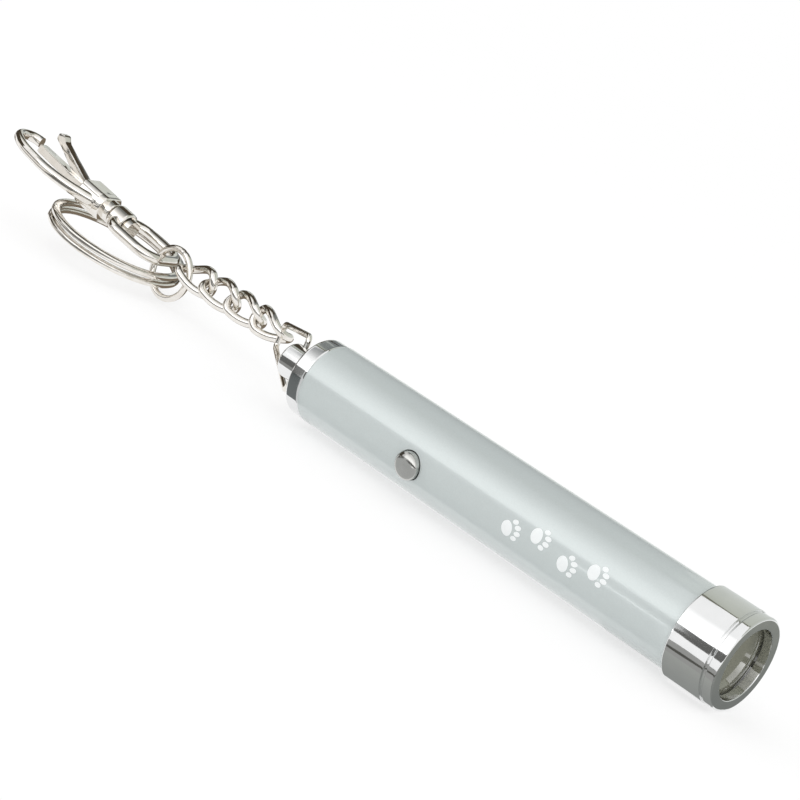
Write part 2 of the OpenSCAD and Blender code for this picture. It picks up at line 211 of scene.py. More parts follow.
def sweep(path: np.ndarray, across: np.ndarray, up: np.ndarray, section: np.ndarray) -> np.ndarray:
    """Carries a section along a path: point plus section[0] times across plus section[1] times up.

    Args:
        path: Points, shape (n, 3).
        across: First section direction at each point, shape (n, 3).
        up: Second section direction, shape (n, 3), or (3,) where it is the same at all points.
        section: Section points, shape (m, 2) or (n, m, 2) where it changes along the path.

    Returns:
        Grid of shape (n, m, 3).
    """
    s, up = np.broadcast_to(section, (len(path),) + section.shape[-2:]), np.broadcast_to(up, path.shape)
    return path[:, None, :] + s[:, :, :1] * across[:, None, :] + s[:, :, 1:] * up[:, None, :]


def oval(width: float, height: float, sides: int, power: float = 1.0) -> np.ndarray:
    """Closed oval section: cos and sin of the angle raised to a power, which squares it off below 1.

    Args:
        width: Full width.
        height: Full height.
        sides: Points round the section.
        power: Exponent of the superellipse.

    Returns:
        Section points, shape (sides, 2).
    """
    t = np.linspace(0, 2 * np.pi, sides, endpoint=False)
    c, s = np.cos(t), np.sin(t)
    return np.stack([width / 2 * np.sign(c) * np.abs(c) ** power, height / 2 * np.sign(s) * np.abs(s) ** power], 1)


def flat_wire(corners: np.ndarray, bend: float | np.ndarray, closed: bool, count: int,
              section: np.ndarray) -> np.ndarray:
    """Wire bent in the XY plane along rounded corners, with the section's height along Z.

    Args:
        corners: Corner points, shape (n, 2).
        bend: Bend radius of the wire's centre, one for all corners or one for each.
        closed: Whether the wire is a loop.
        count: Points along the wire.
        section: Section of the wire, shape (m, 2).

    Returns:
        Grid of shape (count, m, 3).
    """
    line = evenly(rounded(corners, np.broadcast_to(bend, len(corners)), closed, 17), count, closed)
    d = headings(line, closed)
    path = np.pad(line, ((0, 0), (0, 1)))
    across = np.stack([d[:, 1], -d[:, 0], np.zeros(len(d))], 1)
    return sweep(path, across, np.array([0.0, 0.0, 1.0]), section)


def shown(name: str, data: bpy.types.ID) -> bpy.types.Object:
    """Puts data into the scene as a new object.

    Args:
        name: Name of the object.
        data: Mesh, light or camera.

    Returns:
        The object.
    """
    obj = bpy.data.objects.new(name, data)
    bpy.context.scene.collection.objects.link(obj)
    return obj


@dataclass
class Shell:
    """Loose grids that become one mesh.

    Attributes:
        name: Name of the piece.
        verts: Blocks of points.
        faces: Blocks of faces, counted within their block.
    """

    name: str
    verts: list[np.ndarray] = field(default_factory=list)
    faces: list[list[tuple[int, ...]]] = field(default_factory=list)

    def grid(self, grid: np.ndarray, wrap_rows: bool, wrap_cols: bool, caps: bool = False) -> "Shell":
        """Adds a grid of quads.

        Args:
            grid: Points, shape (n, m, 3), in millimetres.
            wrap_rows: Whether the last row joins the first.
            wrap_cols: Whether the last column joins the first.
            caps: Whether the first and last rows are closed with one face each.

        Returns:
            The shell itself.
        """
        n, m = grid.shape[:2]
        i, j = np.meshgrid(np.arange(n if wrap_rows else n - 1), np.arange(m if wrap_cols else m - 1), indexing="ij")
        a, b = i * m + j, i * m + (j + 1) % m
        c, d = ((i + 1) % n) * m + (j + 1) % m, ((i + 1) % n) * m + j
        faces = [tuple(q) for q in np.stack([a, b, c, d], 2).reshape(-1, 4).tolist()]
        if caps:
            faces += [tuple(range(m - 1, -1, -1)), tuple(range((n - 1) * m, n * m))]
        self.verts.append(grid.reshape(-1, 3))
        self.faces.append(faces)
        return self

    def place(self, turn: Matrix) -> "Shell":
        """Moves all points.

        Args:
            turn: Matrix of the move, in millimetres.

        Returns:
            The shell itself.
        """
        t = np.array(turn)
        self.verts = [v @ t[:3, :3].T + t[:3, 3] for v in self.verts]
        return self

    def build(self) -> bpy.types.Object:
        """Makes the mesh object, with doubles merged and faces turned outwards.

        Returns:
            The new object, at the origin.
        """
        starts = np.cumsum([0] + [len(v) for v in self.verts[:-1]])
        faces = [tuple(k + s for k in f) for s, block in zip(starts.tolist(), self.faces) for f in block]
        mesh = bpy.data.meshes.new(self.name)
        mesh.from_pydata((np.vstack(self.verts) * MM).tolist(), [], faces)
        work = bmesh.new()
        work.from_mesh(mesh)
        bmesh.ops.remove_doubles(work, verts=work.verts, dist=MERGE)
        bmesh.ops.dissolve_degenerate(work, edges=work.edges, dist=SLIVER)
        bmesh.ops.recalc_face_normals(work, faces=work.faces)
        work.to_mesh(mesh)
        work.free()
        mesh.polygons.foreach_set("use_smooth", np.ones(len(mesh.polygons), bool))
        mesh.set_sharp_from_angle(angle=SHARP)
        return shown(self.name, mesh)


# Finishes


def fill(node: bpy.types.Node, **values: float | tuple[float, ...]) -> None:
    """Sets inputs of a node.

    Args:
        node: The node.
        values: Value of each input, in whose name _ stands for a space.
    """
    for name, value in values.items():
        node.inputs[name.replace("_", " ")].default_value = value


def join(tree: bpy.types.NodeTree, *pairs: tuple[bpy.types.NodeSocket, bpy.types.NodeSocket]) -> None:
    """Links nodes.

    Args:
        tree: Tree of the nodes.
        pairs: Each output with the input that it feeds.
    """
    for source, sink in pairs:
        tree.links.new(source, sink)


def grain_group() -> bpy.types.NodeTree:
    """Node group for uneven polish: a noise drawn out along X between Low and High, and a fine one.

    Returns:
        The group, with inputs Scale, Low, High and outputs Value, Height and Swell.
    """
    group = bpy.data.node_groups.new("UnevenPolish", "ShaderNodeTree")
    face, add = group.interface, group.nodes.new
    for name, value in (("Scale", 400.0), ("Low", 0.1), ("High", 0.2)):
        face.new_socket(name, in_out="INPUT", socket_type="NodeSocketFloat").default_value = value
    for name in ("Value", "Height", "Swell"):
        face.new_socket(name, in_out="OUTPUT", socket_type="NodeSocketFloat")
    source, sink = add("NodeGroupInput").outputs, add("NodeGroupOutput").inputs
    where, drawn = add("ShaderNodeTexCoord").outputs["Object"], add("ShaderNodeMapping")
    broad, fine, spread = add("ShaderNodeTexNoise"), add("ShaderNodeTexNoise"), add("ShaderNodeMapRange")
    times = add("ShaderNodeMath")
    times.operation, times.inputs[1].default_value = "MULTIPLY", FINE_RATIO
    fill(drawn, Scale=DRAWN)
    fill(broad, Detail=3.0)
    fill(fine, Detail=2.0)
    fill(spread, From_Min=SPREAD[0], From_Max=SPREAD[1])
    join(group, (where, drawn.inputs["Vector"]), (drawn.outputs["Vector"], broad.inputs["Vector"]),
         (where, fine.inputs["Vector"]), (source["Scale"], broad.inputs["Scale"]), (source["Scale"], times.inputs[0]),
         (times.outputs[0], fine.inputs["Scale"]), (broad.outputs["Fac"], spread.inputs["Value"]),
         (source["Low"], spread.inputs["To Min"]), (source["High"], spread.inputs["To Max"]),
         (spread.outputs["Result"], sink["Value"]), (fine.outputs["Fac"], sink["Height"]),
         (broad.outputs["Fac"], sink["Swell"]))
    return group


def tint_group() -> bpy.types.NodeTree:
    """Node group for small colour drift: a noise mixes Deep and Pale.

    Returns:
        The group, with inputs Scale, Deep, Pale and output Color.
    """
    group = bpy.data.node_groups.new("ColourDrift", "ShaderNodeTree")
    face, add = group.interface, group.nodes.new
    face.new_socket("Scale", in_out="INPUT", socket_type="NodeSocketFloat").default_value = 900.0
    for name in ("Deep", "Pale"):
        face.new_socket(name, in_out="INPUT", socket_type="NodeSocketColor")
    face.new_socket("Color", in_out="OUTPUT", socket_type="NodeSocketColor")
    source, sink = add("NodeGroupInput").outputs, add("NodeGroupOutput").inputs
    where, noise, mix = add("ShaderNodeTexCoord").outputs["Object"], add("ShaderNodeTexNoise"), add("ShaderNodeMix")
    mix.data_type = "RGBA"
    fill(noise, Detail=4.0)
    join(group, (where, noise.inputs["Vector"]), (source["Scale"], noise.inputs["Scale"]),
         (noise.outputs["Fac"], mix.inputs["Factor"]), (source["Deep"], mix.inputs["A"]),
         (source["Pale"], mix.inputs["B"]), (mix.outputs["Result"], sink["Color"]))
    return group


@dataclass(frozen=True)
class Finish:
    """One finish: two close colours and a polish that drifts between two values.

    Attributes:
        slot: Record slot that the finish stands for.
        deep: Darker colour, linear.
        pale: Lighter colour, linear.
        metallic: Metal share.
        low: Smoothest roughness.
        high: Roughest roughness.
        grain: Scale of the polish noise.
        drift: Scale of the colour noise.
        bump: Height of the fine bump, in metres.
        coat: Weight of a clear coat.
        swell: Height of the broad waves left by polishing, in metres.
        label: Name of the material where the slot's own name is taken.
    """

    slot: Slot
    deep: Triple
    pale: Triple
    metallic: float = 0.0
    low: float = 0.3
    high: float = 0.4
    grain: float = 300.0
    drift: float = 700.0
    bump: float = 0.0
    coat: float = 0.0
    swell: float = 0.0
    label: str = ""

    def material(self, polish: bpy.types.NodeTree, drift: bpy.types.NodeTree) -> bpy.types.Material:
        """Builds the material.

        Args:
            polish: Group for uneven polish.
            drift: Group for colour drift.

        Returns:
            The material, named after its label or slot.
        """
        made = bpy.data.materials.new(f"finish_{self.label or self.slot.value}")
        made.use_nodes = True
        tree = made.node_tree
        shader = tree.nodes["Principled BSDF"]
        fill(shader, Metallic=self.metallic, Coat_Weight=self.coat, Coat_Roughness=COAT_ROUGHNESS)
        grain = tree.nodes.new("ShaderNodeGroup")
        grain.node_tree = polish
        fill(grain, Scale=self.grain, Low=self.low, High=self.high)
        tint = tree.nodes.new("ShaderNodeGroup")
        tint.node_tree = drift
        fill(tint, Scale=self.drift, Deep=(*self.deep, 1.0), Pale=(*self.pale, 1.0))
        join(tree, (grain.outputs["Value"], shader.inputs["Roughness"]),
             (tint.outputs["Color"], shader.inputs["Base Color"]))
        normal = shader.inputs["Normal"]
        for height, output in ((self.bump, "Height"), (self.swell, "Swell")):
            if height > 0:
                bump = tree.nodes.new("ShaderNodeBump")
                fill(bump, Distance=height, Strength=BUMP_STRENGTH)
                join(tree, (grain.outputs[output], bump.inputs["Height"]), (bump.outputs["Normal"], normal))
                normal = bump.inputs["Normal"]
        return made


FINISHES = (
    Finish(Slot.PAINT, (0.55, 0.60, 0.595), (0.64, 0.69, 0.685), 0.22, 0.2, 0.26, 60.0, 5200.0, 2e-6, 0.8),
    Finish(Slot.CHROME, (0.80, 0.81, 0.81), (0.90, 0.90, 0.90), 1.0, 0.05, 0.09, 150.0, 400.0, swell=6e-4),
    Finish(Slot.NICKEL, (0.74, 0.69, 0.62), (0.98, 0.97, 0.95), 1.0, 0.06, 0.13, 260.0, 600.0, 2e-6, swell=1.2e-4),
    Finish(Slot.LENS, (0.15, 0.15, 0.11), (0.24, 0.24, 0.19), 0.0, 0.02, 0.05, 200.0, 120.0, 0.0, 0.4),
    Finish(Slot.SEAL, (0.010, 0.010, 0.010), (0.022, 0.022, 0.022), 0.0, 0.6, 0.75, 500.0, 900.0, 8e-6),
    Finish(Slot.BLACK, (0.012, 0.012, 0.012), (0.024, 0.024, 0.024), 0.0, 0.45, 0.6, 400.0, 900.0, 8e-6),
    Finish(Slot.LAMP, (0.74, 0.74, 0.68), (0.85, 0.85, 0.8), 0.0, 0.04, 0.08, 300.0, 500.0, 0.0, 0.3),
    Finish(Slot.LEAD, (0.50, 0.48, 0.42), (0.62, 0.60, 0.53), 1.0, 0.25, 0.4, 900.0, 900.0),
    Finish(Slot.BOARD, (0.008, 0.09, 0.03), (0.016, 0.14, 0.05), 0.0, 0.3, 0.42, 500.0, 800.0, 6e-6),
    Finish(Slot.CARRIER, (0.68, 0.68, 0.64), (0.78, 0.78, 0.74), 0.0, 0.4, 0.55, 400.0, 700.0, 6e-6),
    Finish(Slot.SWITCH, (0.03, 0.03, 0.035), (0.05, 0.05, 0.055), 0.0, 0.4, 0.5, 500.0, 900.0, 6e-6),
    Finish(Slot.BRASS, (0.55, 0.38, 0.12), (0.68, 0.50, 0.19), 1.0, 0.2, 0.34, 700.0, 900.0),
    Finish(Slot.CELL, (0.52, 0.52, 0.50), (0.64, 0.64, 0.62), 1.0, 0.22, 0.36, 600.0, 900.0),
    Finish(Slot.STEEL, (0.40, 0.40, 0.38), (0.54, 0.54, 0.52), 1.0, 0.2, 0.32, 700.0, 900.0),
)

DOME = Finish(Slot.CHROME, (0.44, 0.44, 0.42), (0.62, 0.62, 0.60), 1.0, 0.1, 0.18, 300.0, 500.0, label="dome")
PRINT = Finish(Slot.PAINT, (0.84, 0.87, 0.87), (0.92, 0.94, 0.94), 0.0, 0.32, 0.42, 400.0, 2600.0, 1e-6, 0.2,
               label="print")


@dataclass
class Wardrobe:
    """Materials of the finishes, and what each CAD node wears.

    Attributes:
        slots: Record slot of each CAD node.
        polish: Group for uneven polish.
        drift: Group for colour drift.
        made: Material of each slot.
    """

    slots: dict[str, Slot]
    polish: bpy.types.NodeTree = field(default_factory=grain_group)
    drift: bpy.types.NodeTree = field(default_factory=tint_group)
    made: dict[Slot, bpy.types.Material] = field(init=False)

    def __post_init__(self) -> None:
        """Makes the material of each slot."""
        self.made = {finish.slot: finish.material(self.polish, self.drift) for finish in FINISHES}

    def dress(self, obj: bpy.types.Object, body: str, node: str | None, finish: Finish | None = None) -> None:
        """Gives a piece its finish and its place in the frame.

        Args:
            obj: The piece.
            body: CAD body that it rides on.
            node: CAD node that it stands for, or none for an extra layer.
            finish: Finish of its own, which an extra layer needs, or none for that of the node's slot.
        """
        slot = self.slots[node] if node else finish.slot
        obj.data.materials.clear()
        obj.data.materials.append(finish.material(self.polish, self.drift) if finish else self.made[slot])
        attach(obj, body)
        if node:
            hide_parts(node)
        LOG.info("%s rides on %s", obj.name, body)


# Sub-assemblies


@dataclass
class Body:
    """Painted barrel with its button, polished head and window.

    Attributes hold sizes in millimetres, as in the part's source.
    """

    barrel_r: float = 6.5
    bore_r: float = 6.0
    head_r: float = 7.1
    rim_len: float = 1.6
    groove_w: float = 0.4
    sleeve_len: float = 6.2
    barrel_len: float = 71.6
    rim_round: float = 0.35
    opening_r: float = 5.3
    lip_len: float = 1.4
    lens_t: float = 1.2
    seal_t: float = 0.6
    button_from_tail: float = 23.5
    button_turn: float = 104.0
    button_d: float = 4.2
    button_rise: float = 1.5
    hole_slack: float = 0.18
    hole_bevel: float = 0.06
    edge_bevel: float = 0.08
    brace: float = 0.15
    groove_d: float = 0.35
    rim_step: float = 0.1
    lens_slack: float = 0.1
    lens_crown: float = 0.45
    lens_bevel: float = 0.05
    dome_drop: float = 0.85
    collar_step: float = 0.5
    collar_gap: float = 0.1
    collar_t: float = 0.7
    foot_r: float = 1.2
    foot_z: float = 3.55

    @property
    def sleeve_rear(self) -> float:
        """Station of the rear edge of the head sleeve."""
        return -(self.rim_len + self.groove_w + self.sleeve_len)

    @property
    def tail_x(self) -> float:
        """Station of the rear edge of the barrel."""
        return self.sleeve_rear - self.barrel_len

    @property
    def barrel_front(self) -> float:
        """Station of the front edge of the barrel, inside the head."""
        return -self.lip_len - self.lens_t - self.seal_t

    @property
    def button_x(self) -> float:
        """Station of the button."""
        return self.tail_x + self.button_from_tail

    def button_matrix(self) -> Matrix:
        """Frame of the button, whose +Z runs out of the barrel."""
        return Matrix.Translation((self.button_x, 0, 0)) @ Matrix.Rotation(math.radians(self.button_turn), 4, "X")

    def barrel(self) -> bpy.types.Object:
        """Makes the tube with its button hole.

        The tube is unrolled to angle and station. Round the hole a grid runs from the hole's edge,
        whose angle is asin of the sideways reach over the radius, to a square; strips fill the rest.

        Returns:
            The barrel piece.
        """
        shell = Shell("barrel_tube")
        hole = (self.button_d + self.hole_slack) / 2
        half_a, half_x, cells, rings = math.radians(40), 5.0, 12, 8
        side, one = np.linspace(-1, 1, cells + 1)[:-1], np.ones(cells)
        edge = np.concatenate([np.stack(p, 1) for p in ((side, -one), (one, side), (-side, one), (-one, -side))])
        turn = np.arctan2(edge[:, 1], edge[:, 0])
        t = np.linspace(0, 1, rings)[:, None, None] ** 1.3
        rest = np.linspace(half_a, 2 * math.pi - half_a, 5 * cells + 1)
        along = np.linspace(-half_x, half_x, cells + 1)
        around = np.concatenate([np.linspace(-half_a, half_a, cells + 1)[:-1], rest[:-1]])
        front, tail, cut = self.barrel_front - self.button_x, self.tail_x - self.button_x, self.edge_bevel
        for r, bevel, lip in ((self.barrel_r, self.hole_bevel, cut), (self.bore_r, 0.0, 0.0)):
            reach = hole + bevel
            start = np.stack([np.arcsin(reach * np.cos(turn) / r), reach * np.sin(turn)], 1)
            flat = start[None] * (1 - t) + (edge * np.array([half_a, half_x]))[None] * t
            shell.grid(self.rolled(flat, r), False, True)
            shell.grid(self.rolled(np.stack(np.meshgrid(rest, along), 2), r), False, False)
            for near, far in ((half_x, front - lip), (-half_x, tail + lip)):
                stations = np.append(np.linspace(near, far - math.copysign(self.brace, near), 9), far)
                shell.grid(self.rolled(np.stack(np.meshgrid(around, stations), 2), r), False, True)
        self.hole_wall(shell, np.stack([np.cos(turn), np.sin(turn)], 1), hole)
        for x, sign in ((front, -1), (tail, 1)):
            rim = ((x + sign * cut, self.barrel_r), (x + sign * cut * 0.3, self.barrel_r - cut * 0.3),
                   (x, self.barrel_r - cut), (x, self.bore_r))
            rows = [self.rolled(np.stack([around, np.full_like(around, at)], 1), r) for at, r in rim]
            shell.grid(np.stack(rows), False, True)
        return shell.place(self.button_matrix()).build()

    @staticmethod
    def rolled(flat: np.ndarray, r: float) -> np.ndarray:
        """Rolls (angle, station) points onto radius r, angle 0 at the button: (x, r sin a, r cos a)."""
        return np.stack([flat[..., 1], r * np.sin(flat[..., 0]), r * np.cos(flat[..., 0])], -1)

    def hole_wall(self, shell: Shell, ring: np.ndarray, hole: float) -> None:
        """Adds the wall of the button hole, from the outer edge over a small bevel to the bore.

        Args:
            shell: Shell to add to.
            ring: Unit circle points, sideways reach first, shape (n, 2).
            hole: Radius of the hole.
        """
        rows, cut = [], self.hole_bevel
        for reach, r in ((hole + cut, self.barrel_r), (hole, self.barrel_r - cut), (hole, self.bore_r)):
            side = reach * ring[:, 0]
            rows.append(np.stack([reach * ring[:, 1], side, np.sqrt(r * r - side * side)], 1))
        shell.grid(np.stack(rows), False, True)

    def head(self) -> bpy.types.Object:
        """Turns the polished head: sleeve, groove, rim and stepped bore.

        Returns:
            The head piece.
        """
        k, r, g = self.rim_round, self.head_r, self.rim_len + self.groove_w
        deep, rim, seat = r - self.groove_d, r - self.rim_step, self.bore_r + self.lens_slack
        corners = np.array([
            [self.sleeve_rear, self.barrel_r], [self.sleeve_rear, r], [-g, r], [-g, deep], [-self.rim_len, deep],
            [-self.rim_len, rim], [0, rim], [0, self.opening_r], [-self.lip_len, self.opening_r],
            [-self.lip_len, seat], [self.barrel_front, seat], [self.barrel_front, self.barrel_r]])
        radii = np.array([0.03, 0.12, 0.14, 0.06, 0.06, k * 0.5, k, 0.12, 0.04, 0.04, 0.04, 0.04])
        line = rounded(corners, radii, True, 9)
        return Shell("head_shell").grid(lathe(line, 160), True, True).build()

    def window(self) -> bpy.types.Object:
        """Turns the window with a slightly crowned front.

        Returns:
            The window piece.
        """
        r, cut = self.bore_r + self.lens_slack, self.lens_bevel
        front, back = -self.lip_len, -self.lip_len - self.lens_t
        rim = front - self.lens_crown
        s = np.linspace(0, 1, 16)
        crown = np.stack([front - self.lens_crown * s ** 2, s * (self.opening_r - cut)], 1)
        side = np.array([[rim, r - cut], [rim - cut, r], [back + cut, r], [back, r - cut], [back, 0]])
        return Shell("window_disc").grid(lathe(np.vstack([crown, side]), 96), False, True).build()

    def prints(self) -> bpy.types.Object:
        """Lays plain white paw prints on the lacquer.

        Each pad is an oval in the unrolled barrel, station against arc length: a disc of rings scaled
        to its two radii, turned with its paw, then rolled up a hair above the lacquer with its edge let in.

        Returns:
            The print piece.
        """
        pads = np.array([[0.0, 0.0, 0.95, 1.15], [1.3, -1.15, 0.5, 0.36], [1.85, -0.42, 0.55, 0.36],
                         [1.85, 0.42, 0.55, 0.36], [1.3, 1.15, 0.5, 0.36]])
        paws = np.array([[-37.2, 99.0, -14.0], [-32.4, 86.0, -2.0], [-27.0, 97.0, -14.0], [-22.2, 84.0, -2.0]])
        t = np.linspace(0, 2 * np.pi, 32, endpoint=False)
        s = np.array([0.0, 0.4, 0.75, 0.95, 1.0])[:, None, None]
        disc = s * np.stack([np.cos(t), np.sin(t)], 1)[None]
        lift = np.array([0.016, 0.016, 0.015, 0.012, -0.03])[:, None]
        shell = Shell("paw_prints")
        for station, turn, lean in paws:
            c, k = math.cos(math.radians(lean)), math.sin(math.radians(lean))
            for pad in pads:
                flat = (disc * pad[2:] + pad[:2]) @ np.array([[c, k], [-k, c]])
                a = math.radians(turn) + flat[..., 1] / self.barrel_r
                r = self.barrel_r + lift
                shell.grid(np.stack([station + flat[..., 0], -r * np.sin(a), r * np.cos(a)], 2), False, True)
        return shell.build()

    def button(self) -> bpy.types.Object:
        """Turns the domed button with its collar; radius is carried round the button's own axis.

        Returns:
            The button piece.
        """
        r, top = self.button_d / 2, self.barrel_r + self.button_rise
        collar_r = r + self.collar_step
        collar_top = math.sqrt(self.bore_r ** 2 - collar_r ** 2) - self.collar_gap
        s, arc, depth = np.linspace(0, 1, 18), 0.94, 0.66
        fall = self.dome_drop * (1 - np.sqrt(np.clip(1 - (arc * s) ** 2, 0, 1))) / depth
        dome = np.stack([top - fall, s * (r - 0.04)], 1)
        low, foot = collar_top - self.collar_t, self.foot_r
        side = np.array([[dome[-1, 0] - 0.1, r], [collar_top, r], [collar_top, collar_r], [low, collar_r],
                         [low, foot], [self.foot_z, foot], [self.foot_z, 0]])
        grid = lathe(np.vstack([dome, side]), 72)
        upright = Matrix.Rotation(-math.pi / 2, 4, "Y")
        return Shell("button_dome").grid(grid, False, True).place(self.button_matrix() @ upright).build()

    def dress(self, ward: Wardrobe) -> None:
        """Builds and dresses barrel, head, window and button.

        Args:
            ward: Wardrobe of the finishes.
        """
        for obj, node in ((self.barrel(), "barrel"), (self.head(), "head_bezel"), (self.window(), "front_lens")):
            ward.dress(obj, "pointer", node)
        ward.dress(self.button(), "button", "push_button", DOME)

    def dress_prints(self, ward: Wardrobe) -> None:
        """Lays and dresses the print layer, which stands for no CAD node."""
        ward.dress(self.prints(), "pointer", None, PRINT)


@dataclass
class Tail:
    """Screw cap with its neck, and the wire bail. Sizes in millimetres, as in the part's source."""

    body: Body
    flange_len: float = 2.9
    neck_d: float = 5.7
    neck_len: float = 6.0
    bail_wire: float = 0.95
    bail_len: float = 15.5
    bail_swing: float = 35.0
    bail_half: float = 4.7
    tip_half: float = 2.0
    elbow: float = 0.9
    pin_from_end: float = 1.7
    flange_step: float = 0.1
    plug_slack: float = 0.08
    plug_len: float = 2.8
    pocket_r: float = 4.3
    wall_t: float = 1.0

    @property
    def bail_x(self) -> float:
        """Station of the bail's pin."""
        return self.body.tail_x - self.flange_len - self.neck_len + self.pin_from_end

    def cap(self) -> bpy.types.Object:
        """Turns the cap: neck, flange with soft edges, and hollow plug.

        Returns:
            The cap piece.
        """
        x = self.body.tail_x
        n, f, face = self.neck_d / 2, self.body.barrel_r - self.flange_step, x - self.flange_len
        end, plug, front = face - self.neck_len, self.body.bore_r - self.plug_slack, x + self.plug_len
        inner, wall = self.pocket_r, face + self.wall_t
        corners = np.array([[end, 0], [end, n], [face, n], [face, f], [x, f], [x, plug], [front, plug],
                            [front, inner], [wall, inner], [wall, 0]])
        radii = np.array([0, 0.4, 0.15, 0.45, 0.4, 0.05, 0.25, 0.1, 0.1, 0])
        line = rounded(corners, radii, False, 9)
        return Shell("cap_turned").grid(lathe(line, 160), False, True).build()

    def bail(self) -> bpy.types.Object:
        """Bends the bail from round wire, tip and elbows rounded.

        Returns:
            The bail piece.
        """
        corners = np.array([[0, -self.bail_half], [self.bail_len, -self.tip_half], [self.bail_len, self.tip_half],
                            [0, self.bail_half]])
        grid = flat_wire(corners, self.elbow, True, 160, oval(self.bail_wire, self.bail_wire, 18))
        turn = (Matrix.Translation((self.bail_x, 0, 0)) @ Matrix.Rotation(math.radians(180 - self.bail_swing), 4, "Z")
                @ Matrix.Rotation(math.pi / 2, 4, "X"))
        return Shell("bail_wire").grid(grid, True, True).place(turn).build()

    def dress(self, ward: Wardrobe) -> None:
        """Builds and dresses cap and bail."""
        ward.dress(self.cap(), "cap", "tail_cap")
        ward.dress(self.bail(), "bail", "bail")


@dataclass
class Chain:
    """Four twisted links and the jump ring. Sizes in millimetres, as in the part's source."""

    tail: Tail
    rise: float = 0.4
    wire: float = 1.4
    length: float = 7.8
    width: float = 4.2
    gap: float = 0.2
    hook_gap: float = 0.13
    twist: float = 105.0
    first_turn: float = 52.5
    turn_step: float = 22.0
    jump_wire: float = 1.15
    jump_r: float = 4.3
    jump_drop: float = 2.0
    jump_slit: float = 0.012
    jump_turn: float = 75.0
    square: float = 2.2

    @property
    def y(self) -> float:
        """Y of the chain, which is that of the bail's tip."""
        return self.tail.bail_len * math.sin(math.radians(self.tail.bail_swing))

    def link_x(self, i: int) -> float:
        """Station of a link.

        Args:
            i: Link number, counted from the jump ring.

        Returns:
            The station of its centre.
        """
        tip = self.tail.bail_x - self.tail.bail_len * math.cos(math.radians(self.tail.bail_swing))
        last = tip - self.length / 2 + (self.wire + self.tail.bail_wire) / 2 + self.hook_gap
        return last - (4 - i) * (self.length - self.wire - self.gap)

    @property
    def jump_x(self) -> float:
        """Station of the jump ring's centre."""
        reach = self.jump_r - (self.jump_wire + self.wire) / 2 - self.hook_gap
        return self.link_x(1) - self.length / 2 - math.sqrt(reach ** 2 - self.jump_drop ** 2)

    @property
    def jump_z(self) -> float:
        """Height of the jump ring's centre."""
        return self.rise - self.jump_drop

    def bent(self, a: np.ndarray, i: int) -> np.ndarray:
        """Points of link i's centre line: a flat oval whose cross direction turns with its length.

        Args:
            a: Angles round the oval.
            i: Link number.

        Returns:
            Points of shape (n, 3).
        """
        c, s = np.cos(a), np.sin(a)
        x = self.width / 2 * c + (self.length - self.width) / 2 * np.sign(c) * np.minimum(1, np.abs(c) * self.square)
        y = self.width / 2 * s
        t = np.radians(self.first_turn + (i - 1) * self.turn_step + self.twist * x / self.length)
        return np.stack([x, y * np.cos(t), y * np.sin(t)], 1)

    def link(self, i: int) -> bpy.types.Object:
        """Sweeps the wire of link i along its bent oval.

        Args:
            i: Link number, 1 to 4.

        Returns:
            The link piece.
        """
        a, step = np.linspace(0, 2 * np.pi, 144, endpoint=False), 0.03
        path = self.bent(a, i)
        d = self.bent(a + step, i) - self.bent(a - step, i)
        d /= np.linalg.norm(d, axis=1, keepdims=True)
        out = path - np.sum(path * d, axis=1, keepdims=True) * d
        out /= np.linalg.norm(out, axis=1, keepdims=True)
        grid = sweep(path, out, np.cross(d, out), oval(self.wire, self.wire, 22))
        place = Matrix.Translation((self.link_x(i), self.y, self.rise))
        return Shell(f"link_wire_{i}").grid(grid, True, True).place(place).build()

    def jump(self) -> bpy.types.Object:
        """Sweeps the jump ring, a round wire whose ends meet in a fine slit.

        Returns:
            The jump ring piece.
        """
        count = 120
        a = np.linspace(self.jump_slit, 2 * np.pi - self.jump_slit, count) + math.radians(self.jump_turn)
        path = np.stack([self.jump_r * np.cos(a), np.zeros_like(a), self.jump_r * np.sin(a)], 1)
        out = path / self.jump_r
        from_end = np.minimum(np.arange(count), np.arange(count)[::-1])
        ease = np.minimum(1, 0.92 + 0.08 * from_end)
        section = oval(self.jump_wire, self.jump_wire, 20)[None] * ease[:, None, None]
        place = Matrix.Translation((self.jump_x, self.y, self.jump_z))
        grid = sweep(path, out, np.array([0.0, 1.0, 0.0]), section)
        return Shell("jump_wire").grid(grid, False, True, True).place(place).build()

    def dress(self, ward: Wardrobe) -> None:
        """Builds and dresses the links and the jump ring.

        Args:
            ward: Wardrobe of the finishes.
        """
        for i in (1, 2, 3, 4):
            ward.dress(self.link(i), f"link_{i}", f"chain_link_{i}")
        ward.dress(self.jump(), "jump", "jump_ring")


